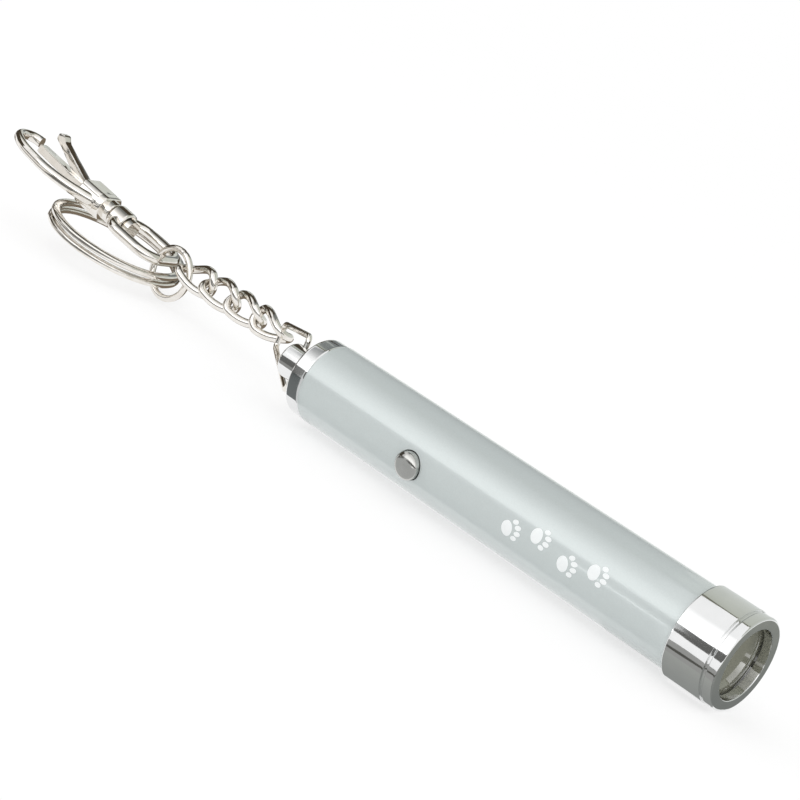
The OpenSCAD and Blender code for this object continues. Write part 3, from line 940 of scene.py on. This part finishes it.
@dataclass
class Keys:
    """Split ring and swivel snap hook. Sizes in millimetres, as in the part's source."""

    chain: Chain
    ring_tilt: float = 9.0
    ring_yaw: float = 8.0
    hook_tilt: float = 10.0
    hook_yaw: float = 9.0
    ring_d: float = 25.0
    ring_w: float = 1.5
    ring_h: float = 1.0
    ring_pitch: float = 1.45
    ring_turns: float = 1.97
    ring_start: float = 120.0
    ring_square: float = 0.62
    ring_level: float = -0.27
    ring_hang: float = 2.25
    ring_hang_turn: float = 238.0
    eye_wire: float = 1.9
    eye_hang: float = 2.6
    eye_hang_turn: float = 150.0
    eye_half: float = 4.6
    eye_len: float = 11.5
    hub_front: float = 10.0
    hub_rear: float = 13.2
    hub_d: float = 4.6
    hub_gap: float = 0.3
    hook_len: float = 25.6
    hook_wire: float = 2.2
    hook_bulge: float = 5.6
    nose_y: float = -2.2
    base_t: float = 4.4
    base_r: float = 2.9
    base_len: float = 5.8
    collar_len: float = 1.6
    collar_r: float = 2.0
    lap: float = 0.3
    slot_x: float = 3.1
    slot_t: float = 2.8
    slot_top: float = 1.0
    lever_t: float = 1.4
    lever_r: float = 1.4
    lever_half: float = 0.9
    lever_gap: float = 0.1
    gate_soft: float = 0.14
    tab_soft: float = 0.16
    rivet_y: float = -1.2
    tab_half: float = 0.8
    tab_y: float = -2.0
    tab_len: float = 10.5
    tab_rise: float = 4.4
    tab_x: float = 8.9
    rivet_x: float = 4.6
    gate_short: float = 3.7
    eye_bend: float = 3.4
    hub_bore: float = 1.08
    claw_thin: float = 0.66
    bar_soft: float = 0.28

    @property
    def hook_x(self) -> float:
        """Start of the hook along the snap hook."""
        return self.hub_rear + self.hub_gap

    @property
    def hook_end(self) -> float:
        """Far end of the hook along the snap hook."""
        return self.hook_x + self.hook_len

    def key_matrix(self, hang: float, turn: float, tilt: float, yaw: float) -> Matrix:
        """Frame of what hangs in the jump ring.

        Args:
            hang: Distance from the centre of the jump ring.
            turn: Angle from +X at that centre, in degrees.
            tilt: Tilt about Y, in degrees.
            yaw: Turn about the tilted Z, in degrees.

        Returns:
            The frame's matrix, in millimetres.
        """
        a, jump = math.radians(turn), self.chain
        place = Matrix.Translation((jump.jump_x + hang * math.cos(a), jump.y, jump.jump_z + hang * math.sin(a)))
        return place @ Matrix.Rotation(math.radians(tilt), 4, "Y") @ Matrix.Rotation(math.radians(yaw), 4, "Z")

    def clasp_matrix(self) -> Matrix:
        """Frame of the snap hook: +X from the eye to the hook's end."""
        frame = self.key_matrix(self.eye_hang, self.eye_hang_turn, self.hook_tilt, self.hook_yaw)
        return frame @ Matrix.Rotation(math.pi, 4, "Z")

    def ring(self) -> bpy.types.Object:
        """Winds the split ring: two flat-sided turns that rise by one pitch a turn.

        Returns:
            The split ring piece.
        """
        r = (self.ring_d - self.ring_w) / 2
        t = np.linspace(0, self.ring_turns, 300)
        a = 2 * np.pi * t + math.radians(self.ring_start)
        path = np.stack([r * np.cos(a), r * np.sin(a), self.ring_pitch * (t - self.ring_turns / 2)], 1)
        out = np.stack([np.cos(a), np.sin(a), np.zeros_like(a)], 1)
        grid = sweep(path, out, np.array([0.0, 0.0, 1.0]), oval(self.ring_w, self.ring_h, 24, self.ring_square))
        place = self.key_matrix(self.ring_hang, self.ring_hang_turn, self.ring_tilt, self.ring_yaw)
        place = place @ Matrix.Translation((-r, 0, self.ring_level))
        return Shell("ring_wire").grid(grid, False, True, True).place(place).build()

    def eye(self) -> bpy.types.Object:
        """Bends the swivel eye and turns its hub.

        Returns:
            The eye piece.
        """
        corners = np.array([[0, -self.eye_half], [self.eye_len, -self.eye_half], [self.eye_len, self.eye_half],
                            [0, self.eye_half]])
        shell = Shell("eye_loop").grid(
            flat_wire(corners, self.eye_bend, True, 160, oval(self.eye_wire, self.eye_wire, 20)), True, True)
        r, f, b, bore = self.hub_d / 2, self.hub_front, self.hub_rear, self.hub_bore
        line = rounded(np.array([[f, bore], [f, r], [b, r], [b, bore]]), np.array([0.1, 0.4, 0.4, 0.1]), True, 7)
        return shell.grid(lathe(line, 56), True, True).place(self.clasp_matrix()).build()

    def hook(self) -> bpy.types.Object:
        """Bends the claw, tapering to its nose, and builds its slotted base.

        Returns:
            The hook piece.
        """
        x, e, w, h, thin = self.hook_x, self.hook_end, self.hook_wire, self.hook_bulge, self.claw_thin
        tip, out = e - w / 2 * thin, w / 2 * (1 - thin)
        corners = np.array([[x + 3, h * 0.22], [x + 7.1, h * 0.77 + out * 0.6], [x + self.hook_len * 0.5, h + out],
                            [e - 5.1, h * 0.8 + out], [tip, h * 0.27 + out], [tip, self.nose_y],
                            [e - 3, self.nose_y - out]])
        bends = np.array([0, 12, 16, 11.5, 3.6, 2.3, 0])
        slim = np.interp(np.linspace(0, 1, 180), [0, 0.25, 0.5, 0.9, 1], [1, 0.8, thin, thin, 0.8])
        section = oval(w, w, 22)[None] * np.stack([slim, 0.5 + 0.5 * slim], 1)[:, None, :]
        shell = Shell("hook_arm").grid(flat_wire(corners, bends, False, 180, section), False, True, True)
        rear, r, lap = x + self.collar_len + self.lap, self.collar_r, self.lap
        collar = rounded(np.array([[x, 0], [x, r], [rear, r], [rear, 0]]), np.array([0, 0.3, 0.1, 0]), False, 6)
        shell.grid(lathe(collar, 48), False, True)
        start, slot, end = x + self.collar_len - 0.1, x + self.slot_x, x + self.collar_len + self.base_len
        full, low, side = np.pi, math.asin(self.slot_t / 2 / self.base_r), math.acos(self.slot_top / self.base_r)
        top, half = self.base_t / 2, self.slot_t / 2
        self.bar(shell, self.cut_round(-full, full, -top, top), start, slot + 0.1)
        self.bar(shell, self.cut_round(low, full - low, half, top), slot - lap, end)
        self.bar(shell, self.cut_round(low - full, -low, -top, -half), slot - lap, end)
        self.bar(shell, self.cut_round(-side, side, -half - 0.1, half + 0.1), slot - lap, end - 0.05)
        return shell.place(self.clasp_matrix()).build()

    def cut_round(self, first: float, last: float, low: float, high: float) -> np.ndarray:
        """Part of the base's round section, its height held between two flats.

        Args:
            first: First angle from +Y.
            last: Last angle.
            low: Lower flat.
            high: Upper flat.

        Returns:
            Section points as (y, z), shape (64, 2).
        """
        t = np.linspace(first, last, 64, endpoint=last - first < 6)
        cut = evenly(np.stack([self.base_r * np.cos(t), np.clip(self.base_r * np.sin(t), low, high)], 1), 64, True)
        return np.mean([np.roll(cut, k, 0) for k in (-1, 0, 1)], axis=0)

    def bar(self, shell: Shell, outline: np.ndarray, start: float, end: float) -> None:
        """Adds a bar along X with a (y, z) section and soft ends."""
        self.plate(shell, outline, start, end, self.bar_soft, (2, 0, 1))

    @staticmethod
    def plate(shell: Shell, outline: np.ndarray, low: float, high: float, soft: float,
              axes: tuple[int, int, int] = (0, 1, 2)) -> None:
        """Adds a flat plate: the outline drawn in by a quarter round at both faces.

        Args:
            shell: Shell to add to.
            outline: Outline points, shape (n, 2).
            low: Lower face.
            high: Upper face.
            soft: Radius of the edges.
            axes: Which of outline first, outline second and thickness gives X, Y and Z.
        """
        centre = outline.mean(0)
        reach = np.linalg.norm(outline - centre, axis=1, keepdims=True)
        q = np.linspace(0, np.pi / 2, 5)
        inset = np.concatenate([soft * (1 - np.sin(q)), soft * (1 - np.cos(q))])
        z = np.concatenate([low + soft * (1 - np.cos(q)), high - soft * (1 - np.sin(q))])
        rows = centre + (outline - centre)[None] * (1 - inset[:, None, None] / np.maximum(reach, 1e-6)[None])
        grid = np.concatenate([rows, np.broadcast_to(z[:, None, None], rows.shape[:2] + (1,))], 2)
        shell.grid(grid[..., list(axes)], False, True, True)

    def lever(self) -> bpy.types.Object:
        """Cuts the straight gate as a soft-edged plate and raises the thumb tab off its top.

        Returns:
            The lever piece.
        """
        px, py, far = self.hook_x + self.rivet_x, self.rivet_y, self.hook_end - self.gate_short
        r, n, half = self.lever_r, self.nose_y, self.lever_half
        corners = np.array([[px - r, py + r], [px - r, py - r], [px, py - r], [far, n - half], [far, n + half],
                            [px, py + r]])
        gate = evenly(rounded(corners, np.array([r, r, 0.5, 0.4, 0.4, 0.5]), True, 9), 140, True)
        shell = Shell("thumb_lever")
        low = -self.slot_t / 2 + self.lever_gap
        self.plate(shell, gate, low, low + self.lever_t, self.gate_soft)
        t, k, foot = self.tab_len, self.tab_rise, -0.5
        side = np.array([[0, foot], [t * 0.27, foot], [t * 0.84, k * 0.54], [t, k * 0.68], [t, k * 0.93],
                         [t * 0.88, k], [t * 0.8, k * 0.78], [t * 0.06, k * 0.16]])
        side += np.array([self.hook_x + self.tab_x, 0])
        tab = evenly(rounded(side, np.array([0.2, 0.6, 1.2, 0.4, 0.4, 0.4, 0.9, 0.6]), True, 7), 120, True)
        self.plate(shell, tab, self.tab_y - self.tab_half, self.tab_y + self.tab_half, self.tab_soft, (0, 2, 1))
        return shell.place(self.clasp_matrix()).build()

    def dress(self, ward: Wardrobe) -> None:
        """Builds and dresses split ring, eye, hook and lever.

        Args:
            ward: Wardrobe of the finishes.
        """
        ward.dress(self.ring(), "ring", "split_ring")
        ward.dress(self.eye(), "eye", "clasp_eye")
        ward.dress(self.hook(), "hook", "clasp_hook")
        ward.dress(self.lever(), "lever", "clasp_lever")


# Stage


@dataclass(frozen=True)
class Tone:
    """Brightness of a glowing card that only mirrors see, linear; the card is a painted reflection.

    Attributes:
        shade: Brightness of the card, or of its low end where it changes.
        fade: Brightness of its high end, or none for an even card.
        axis: Axis of the change, 0 for X to 2 for Z.
    """

    shade: Triple
    fade: Triple | None = None
    axis: int = 0

    def material(self, name: str, corners: list[Triple]) -> bpy.types.Material:
        """Builds the glowing material of a card, which paints a reflection.

        Args:
            name: Name of the card.
            corners: Its corners, between which the brightness changes.

        Returns:
            The material.
        """
        made = bpy.data.materials.new(name)
        made.use_nodes = True
        tree = made.node_tree
        tree.nodes.clear()
        glow, out = tree.nodes.new("ShaderNodeEmission"), tree.nodes.new("ShaderNodeOutputMaterial")
        glow.inputs["Color"].default_value = (*self.shade, 1)
        tree.links.new(glow.outputs[0], out.inputs["Surface"])
        if self.fade:
            kinds = ("TexCoord", "SeparateXYZ", "MapRange", "Mix")
            coords, split, along, mix = (tree.nodes.new(f"ShaderNode{kind}") for kind in kinds)
            reach = [corner[self.axis] for corner in corners]
            fill(along, From_Min=min(reach), From_Max=max(reach))
            mix.data_type = "RGBA"
            fill(mix, A=(*self.shade, 1), B=(*self.fade, 1))
            join(tree, (coords.outputs["Object"], split.inputs[0]), (split.outputs[self.axis], along.inputs["Value"]),
                 (along.outputs["Result"], mix.inputs["Factor"]), (mix.outputs["Result"], glow.inputs["Color"]))
        return made


@dataclass(frozen=True)
class Studio:
    """Floor, light and camera of the photograph. Distances in metres."""

    floor_z: float = -0.0071
    floor_half: float = 4.0
    eye: Triple = (0.09906, -0.23412, 0.06273)
    right: Triple = (0.6882, 0.5926, 0.4186)
    down: Triple = (0.4531, 0.0995, -0.8859)
    lens: float = 90.0
    sensor: float = 36.0
    white_share: float = 0.68
    girth: float = 0.0067
    card_lift: float = 0.0002

    def camera(self) -> None:
        """Places the camera by its right and down directions."""
        data = bpy.data.cameras.new("camera")
        data.lens, data.sensor_width, data.clip_start = self.lens, self.sensor, 0.01
        right, up = Vector(self.right).normalized(), -Vector(self.down).normalized()
        back = right.cross(up).normalized()
        up = back.cross(right)
        obj = shown("camera", data)
        obj.matrix_world = Matrix.Translation(self.eye) @ Matrix((right, up, back)).transposed().to_4x4()
        bpy.context.scene.camera = obj

    @staticmethod
    def panel(name: str, corners: list[Triple], made: bpy.types.Material) -> bpy.types.Object:
        """Makes a four-cornered sheet.

        Args:
            name: Name of the sheet.
            corners: Its corners.
            made: Its material.

        Returns:
            The sheet.
        """
        mesh = bpy.data.meshes.new(name)
        mesh.from_pydata(corners, [], [(0, 1, 2, 3)])
        mesh.materials.append(made)
        return shown(name, mesh)

    def floor(self) -> None:
        """Lays the white floor: the camera, mirrors and glass see a share of it as plain white, the rest is shaded."""
        made = bpy.data.materials.new("floor_white")
        made.use_nodes = True
        tree = made.node_tree
        shader = tree.nodes["Principled BSDF"]
        fill(shader, Base_Color=(1.0, 1.0, 1.0, 1.0), Roughness=1.0, Specular_IOR_Level=0.0)
        path, glow, mix = (tree.nodes.new(f"ShaderNode{kind}") for kind in ("LightPath", "Emission", "MixShader"))
        seen, clear, share = (tree.nodes.new("ShaderNodeMath") for _ in range(3))
        seen.operation = clear.operation = "MAXIMUM"
        share.operation, share.inputs[1].default_value = "MULTIPLY", self.white_share
        join(tree, (path.outputs["Is Camera Ray"], seen.inputs[0]), (path.outputs["Is Glossy Ray"], seen.inputs[1]),
             (seen.outputs[0], clear.inputs[0]), (path.outputs["Is Transmission Ray"], clear.inputs[1]),
             (clear.outputs[0], share.inputs[0]), (share.outputs[0], mix.inputs["Fac"]),
             (shader.outputs[0], mix.inputs[1]), (glow.outputs[0], mix.inputs[2]),
             (mix.outputs[0], tree.nodes["Material Output"].inputs["Surface"]))
        half, z = self.floor_half, self.floor_z
        obj = self.panel("floor", [(-half, -half, z), (half, -half, z), (half, half, z), (-half, half, z)], made)

    def world(self) -> None:
        """Makes the white room round the floor."""
        world = bpy.data.worlds.new("room")
        bpy.context.scene.world = world
        world.use_nodes = True
        fill(world.node_tree.nodes["Background"], Color=(1.0, 1.0, 1.0, 1.0), Strength=1.0)

    def lamp(self, name: str, place: Triple, aim: Triple, size: Pair, power: float) -> None:
        """Hangs one soft box that mirrors don't show.

        Args:
            name: Name of the lamp.
            place: Where it hangs.
            aim: Point it faces.
            size: Width and height.
            power: Power in watts.
        """
        data = bpy.data.lights.new(name, "AREA")
        data.shape, data.size, data.size_y, data.energy = "RECTANGLE", size[0], size[1], power
        obj = shown(name, data)
        turn = (Vector(aim) - Vector(place)).to_track_quat("-Z", "Y").to_matrix().to_4x4()
        obj.matrix_world = Matrix.Translation(place) @ turn
        obj.visible_glossy = False

    def card(self, name: str, corners: list[Triple], tone: Tone) -> None:
        """Stands a glowing card that the camera, diffuse light and shadows skip, so that polished surfaces show it as
        a painted reflection.

        Args:
            name: Name of the card.
            corners: Its four corners.
            tone: Its brightness.
        """
        obj = self.panel(name, corners, tone.material(name, corners))
        # Hidden from the camera, diffuse light and shadows: the card shows only as a painted reflection.
        obj.visible_camera = obj.visible_diffuse = obj.visible_shadow = False

    def flat_card(self, name: str, x: Pair, y: Pair, z: float, tone: Tone) -> None:
        """Lays a level card, a painted reflection, of the given reach along X and Y at the height z."""
        self.card(name, [(x[0], y[0], z), (x[1], y[0], z), (x[1], y[1], z), (x[0], y[1], z)], tone)

    def mirrored(self, x: float, y: float, z: float) -> float:
        """X of a thing at y and z that the side mirrors at station x: a sight line goes on with the slope it had."""
        slope = (self.eye[0] - x) / (math.hypot(self.eye[1], self.eye[2]) - self.girth)
        return x - (math.hypot(y, z) - self.girth) * slope

    def sheet(self, name: str, zone: Pair, start: Pair, end: Pair, tone: Tone) -> None:
        """Spans a card between two edges, each a Y and a Z, that only the stations within zone mirror, so that its
        painted reflection falls on that stretch alone.
        """
        edges = ((zone[0], start), (zone[1], start), (zone[1], end), (zone[0], end))
        self.card(name, [(self.mirrored(x, *edge), *edge) for x, edge in edges], tone)

    def head_cards(self, low: float) -> None:
        """Sets the glowing cards whose painted reflections lay dark and grey bands, a dark streak and a pale top band
        into the polished head.

        Args:
            low: Height of the lowest cards.
        """
        zone, rear, over, grey = (-0.0088, 0.9), -0.0083, low + self.card_lift, Tone((0.13, 0.13, 0.125))
        # Painted reflections in the head's chrome: dark and grey bands below, and a thin dark streak.
        self.sheet("head_floor", zone, (-0.5, low), (-0.045, low), grey)
        self.sheet("head_front", zone, (-0.5, low), (-0.5, 0.09), grey)
        self.sheet("head_low", (rear, 0.03), (-0.0175, low), (-0.0095, low), Tone((0.33, 0.33, 0.32)))
        self.sheet("head_near", (rear, 0.01), (-0.0095, low), (-0.0025, low),
                   Tone((0.36, 0.37, 0.35), (0.27, 0.28, 0.27), 1))
        self.sheet("head_streak_reflection", (rear, 0.03), (-0.0128, over), (-0.0116, over), Tone((0.09, 0.09, 0.08)))
        # Painted reflections on the rim's face, a dark line overhead and a pale band from behind, which all pieces
        # mirror.
        self.flat_card("nose_card", (0.0005, 0.07), (-0.012, 0.09), low, Tone((0.19, 0.2, 0.19), (0.4, 0.41, 0.36)))
        self.flat_card("top_card", (-1.0, 1.0), (-0.012, 0.02), 0.5, Tone((0.16, 0.16, 0.12)))
        self.card("back_card", [(-1.0, 0.02, 0.5), (1.0, 0.02, 0.5), (1.0, 0.7, 0.05), (-1.0, 0.7, 0.05)],
                  Tone((0.72, 0.75, 0.73), (0.5, 0.52, 0.46), 2))

    def barrel_cards(self, low: float) -> None:
        """Sets the glowing cards that paint reflections into the lacquer: the soft band with its sharp lower edge, a
        painted highlight line and the bright limb.

        Args:
            low: Height of the lowest cards.
        """
        zone, over = (-0.0798, -0.0092), low + self.card_lift
        even, dim = Tone((0.62, 0.63, 0.63)), Tone((0.2, 0.215, 0.215))
        # Painted reflections: an even grey band below the sharp edge, seen only in the lacquer.
        self.sheet("barrel_floor", zone, (-0.5, low), (-0.006, low), even)
        self.sheet("barrel_front", zone, (-0.5, low), (-0.5, 0.09), even)
        # A thin card brighter than white: a painted highlight line along the barrel.
        self.sheet("barrel_highlight_line", (-0.026, zone[1]), (-0.043, over), (-0.035, over), Tone((3.0, 3.0, 3.0)))
        # Painted reflections above: a card brighter than white fading upwards for a painted highlight band, a sky card
        # fading to grey, dim cards on top and behind.
        self.sheet("barrel_glow", (zone[0], 0.3), (-0.5, 0.09), (-0.5, 0.6),
                   Tone((1.85, 1.85, 1.85), (1.0, 1.0, 1.0), 2))
        self.sheet("barrel_sky", zone, (-0.5, 0.6), (-0.012, 0.5), Tone((1.0, 1.0, 1.0), (0.2, 0.21, 0.21), 1))
        self.sheet("barrel_top", zone, (0.02, 0.49), (0.25, 0.337), dim)
        self.sheet("barrel_back", zone, (0.25, 0.337), (0.5, 0.172), dim)
        # A white card under the barrel: a painted bright reflection along the lower limb, where the floor lies in
        # shadow.
        self.flat_card("barrel_limb", (-0.079, -0.02), (-0.006, 0.06), low, Tone((0.98, 0.98, 0.98)))

    def chain_cards(self, low: float) -> None:
        """Sets the glowing cards that paint dark, brown and pale reflections into the cap, the chain and the keys.

        Args:
            low: Height of the lowest cards.
        """
        zone, over = (-0.5, -0.0798), low + 1.5 * self.card_lift
        grey, brown = Tone((0.13, 0.13, 0.125)), Tone((0.06, 0.048, 0.033))
        # Painted reflections: dark and brown bands and streaks in the chrome and nickel.
        self.sheet("chain_front", zone, (-0.5, low), (-0.5, 0.09), grey)
        self.sheet("chain_ground", zone, (-0.5, low), (-0.0175, low), grey)
        self.sheet("flange_card", (-0.084, zone[1]), (-0.05, over), (-0.006, over),
                   Tone((0.07, 0.08, 0.08), (0.16, 0.17, 0.17), 1))
        # A pale card: a painted bright reflection on the gate's side.
        self.flat_card("gate_card", (-0.3, -0.164), (-0.1, -0.0175), over, Tone((0.85, 0.83, 0.8)))
        self.flat_card("tail_card", (-0.2, -0.088), (-0.0175, -0.0095), low, Tone((0.28, 0.28, 0.27)))
        self.flat_card("chain_floor", (-0.26, -0.1), (0.012, 0.07), low, Tone((0.2, 0.165, 0.125)))
        self.card("left_card", [(-0.75, -0.4, low), (-0.75, 0.5, low), (-0.75, 0.5, 0.36), (-0.75, -0.4, 0.36)], brown)
        self.card("chain_card", [(-0.24, 0.06, low), (-0.13, 0.06, low), (-0.13, 0.06, 0.014), (-0.24, 0.06, 0.014)],
                  brown)
        self.card("roof_card", [(-0.26, 0.05, 0.04), (-0.125, 0.05, 0.04), (-0.125, 0.015, 0.055),
                                (-0.26, 0.015, 0.055)], brown)

    def build(self) -> None:
        """Sets up the whole stage, with the glowing cards that paint reflections."""
        bpy.context.scene.view_settings.view_transform = "Standard"
        self.camera()
        self.floor()
        self.world()
        self.lamp("front_box", (-0.2, -0.35, 0.6), (-0.05, 0.0, 0.0), (0.5, 0.4), 0.35)
        # Glowing cards that only mirrors see: painted reflections for the head, the barrel and the chain.
        for cards in (self.head_cards, self.barrel_cards, self.chain_cards):
            cards(self.floor_z + self.card_lift)


def main() -> None:
    """Builds the stage, the pieces and their finishes."""
    logging.basicConfig(level=logging.INFO)
    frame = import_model()
    Studio().build()
    ward = Wardrobe({s["node"]: Slot(s["material_slot"]) for s in frame["record"]["subparts"]})
    for node, obj in frame["nodes"].items():
        obj.data.materials.clear()
        obj.data.materials.append(ward.made[ward.slots[node]])

    body = Body()
    tail = Tail(body)
    chain = Chain(tail)
    for group in (body, tail, chain, Keys(chain)):
        group.dress(ward)
    body.dress_prints(ward)


if __name__ == "__main__":
    main()
